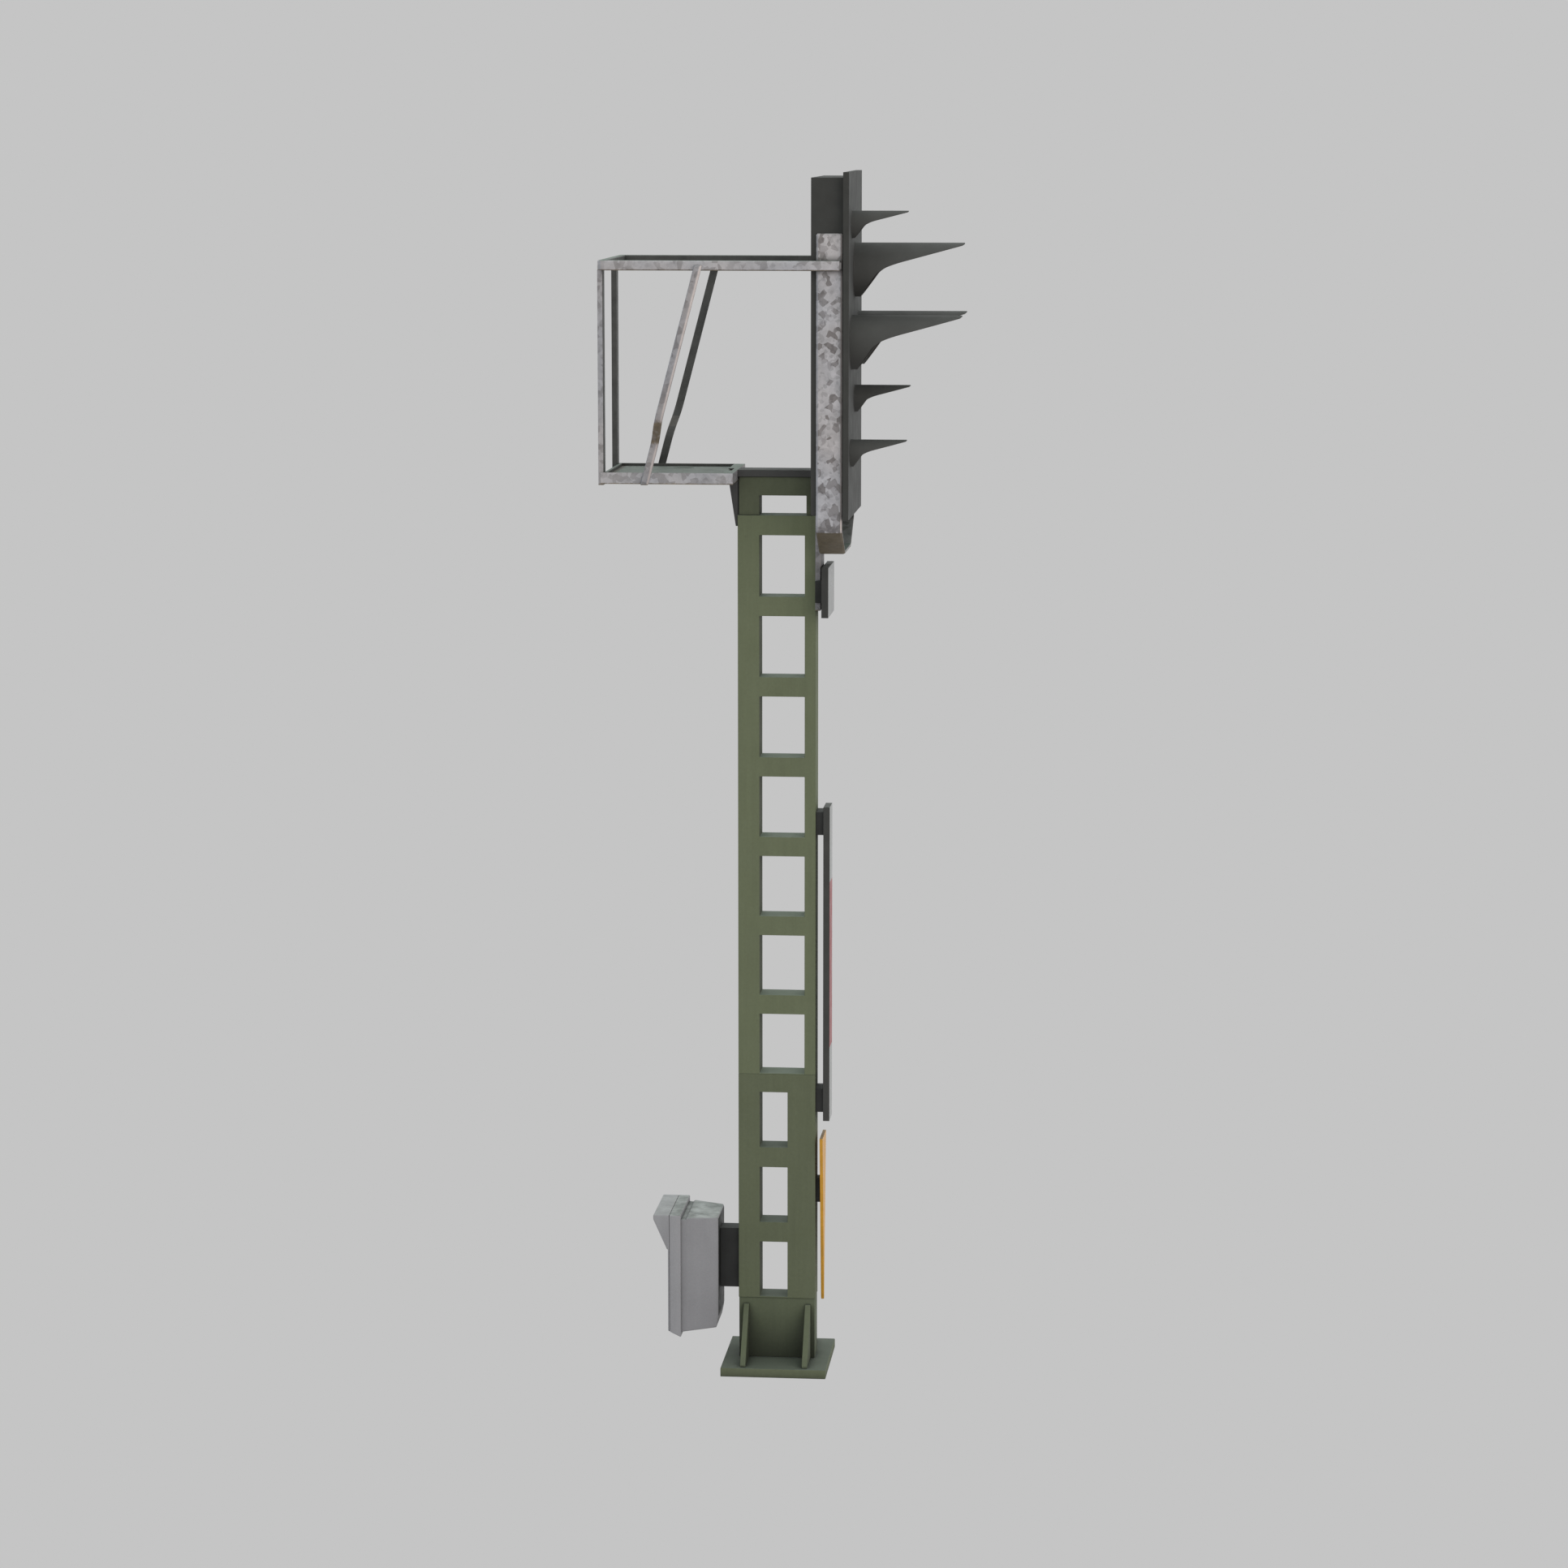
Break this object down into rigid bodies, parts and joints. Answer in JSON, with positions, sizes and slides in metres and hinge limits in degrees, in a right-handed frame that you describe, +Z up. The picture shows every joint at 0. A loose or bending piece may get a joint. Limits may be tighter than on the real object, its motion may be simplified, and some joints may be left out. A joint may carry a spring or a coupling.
{
  "type": "railway colour light signal on a mast",
  "caption": "Railway colour-light signal on a ladder mast, with a guarded service platform, hooded lamps, sign boards and a line-side telephone box.",
  "frame": {"origin": "on the ground, at the underside of the base plate, under the middle of the mast", "axes": "+Z up, +X the way the lamps face, -Y the driver's left as the signal is approached"},
  "size_m": [1.682, 0.82, 5.703],
  "materials": {
    "mast_green": "matt olive-green paint, slightly chalked",
    "dark_green": "matt olive-green paint, a darker coat",
    "galvanised_steel": "hot-dip galvanised, with spangles and thin rust at lower edges",
    "head_black": "matt black paint",
    "screen_grey": "matt black paint, a little faded",
    "floor_sheet": "weathered galvanised sheet",
    "lamp_case": "moulded black",
    "lens_red": "ribbed red lens, unlit",
    "lens_green": "ribbed green lens, unlit",
    "lens_yellow": "ribbed yellow lens, unlit",
    "lens_white": "ribbed clear lens, unlit",
    "board_grey": "light grey board with black edges",
    "board_red_white": "retroreflective white, red and white fields with dark edges",
    "board_yellow": "yellow retroreflective sheet",
    "telephone_grey": "glass-fibre moulding with a fine texture",
    "bracket_black": "matt black paint",
    "handset_black": "black moulding",
    "lock_steel": "plated steel"
  },
  "bodies": {
    "root": {"base_plate": "dark_green", "mast_foot": "dark_green", "foot_gusset_rear_left": "dark_green", "foot_gusset_rear_right": "dark_green", "foot_gusset_front_left": "dark_green", "foot_gusset_front_right": "dark_green", "mast_lower_section": "dark_green", "mast_upper_section": "mast_green", "mast_head": "dark_green", "mast_cap_channel": "head_black", "platform_side_beam_left": "galvanised_steel", "platform_side_beam_right": "galvanised_steel", "platform_rear_beam": "galvanised_steel", "platform_front_beam": "galvanised_steel", "platform_knee_left": "head_black", "platform_knee_right": "head_black", "guard_rail": "galvanised_steel", "rail_post_left": "galvanised_steel", "rail_post_right": "galvanised_steel", "rail_strut_left": "galvanised_steel", "rail_strut_right": "galvanised_steel", "head_housing": "head_black", "screen_plate": "screen_grey", "head_band": "galvanised_steel", "head_hanger_plate": "galvanised_steel", "hood_white_top_left": "head_black", "hood_red": "head_black", "hood_green": "head_black", "hood_yellow": "head_black", "hood_white_centre": "head_black", "hood_white_low_left": "head_black", "lens_white_top_left": "lens_white", "lens_red": "lens_red", "lens_green": "lens_green", "lens_yellow": "lens_yellow", "lens_white_centre": "lens_white", "lens_white_low_left": "lens_white", "lamp_case_white_top_left": "lamp_case", "lamp_case_red": "lamp_case", "lamp_case_green": "lamp_case", "lamp_case_yellow": "lamp_case", "lamp_case_white_centre": "lamp_case", "lamp_case_white_low_left": "lamp_case", "id_board": "board_grey", "id_board_bracket": "bracket_black", "mast_board": "board_red_white", "mast_board_bracket_upper": "bracket_black", "mast_board_bracket_lower": "bracket_black", "triangle_board": "board_yellow", "triangle_board_bracket": "bracket_black", "telephone_bracket": "bracket_black", "telephone_case": "telephone_grey"},
    "floor_hatch": {"platform_floor_hatch": "floor_sheet"},
    "head_door": {"head_door": "head_black"},
    "latch_lower": {"head_door_latch_lower": "lock_steel"},
    "latch_upper": {"head_door_latch_upper": "lock_steel"},
    "telephone_door": {"telephone_door": "telephone_grey"},
    "telephone_lock": {"telephone_lock": "lock_steel"},
    "handset": {"telephone_handset": "handset_black"}
  },
  "joints": [
    {"name": "floor_hatch_hinge", "type": "hinge", "parent": "root", "child": "floor_hatch", "pos_m": [-0.504, -0.268, 4.312], "axis": [1, 0, 0], "range_deg": [0, 95]},
    {"name": "head_door_hinge", "type": "hinge", "parent": "root", "child": "head_door", "pos_m": [0.19, 0.322, 4.97], "axis": [0, 0, -1], "range_deg": [0, 90]},
    {"name": "latch_lower_turn", "type": "hinge", "parent": "head_door", "child": "latch_lower", "pos_m": [0.19, -0.304, 4.65], "axis": [1, 0, 0], "range_deg": [0, 90]},
    {"name": "latch_upper_turn", "type": "hinge", "parent": "head_door", "child": "latch_upper", "pos_m": [0.19, -0.304, 5.29], "axis": [1, 0, 0], "range_deg": [0, 90]},
    {"name": "telephone_door_hinge", "type": "hinge", "parent": "root", "child": "telephone_door", "pos_m": [-0.5045, 0.211, 0.48], "axis": [0, 0, -1], "range_deg": [0, 110]},
    {"name": "telephone_lock_turn", "type": "hinge", "parent": "telephone_door", "child": "telephone_lock", "pos_m": [-0.504, -0.14, 0.47], "axis": [1, 0, 0], "range_deg": [0, 90]},
    {"name": "handset_lift", "type": "slide", "parent": "root", "child": "handset", "axis": [0, 0, 1], "range_m": [0, 0.03]}
  ]
}
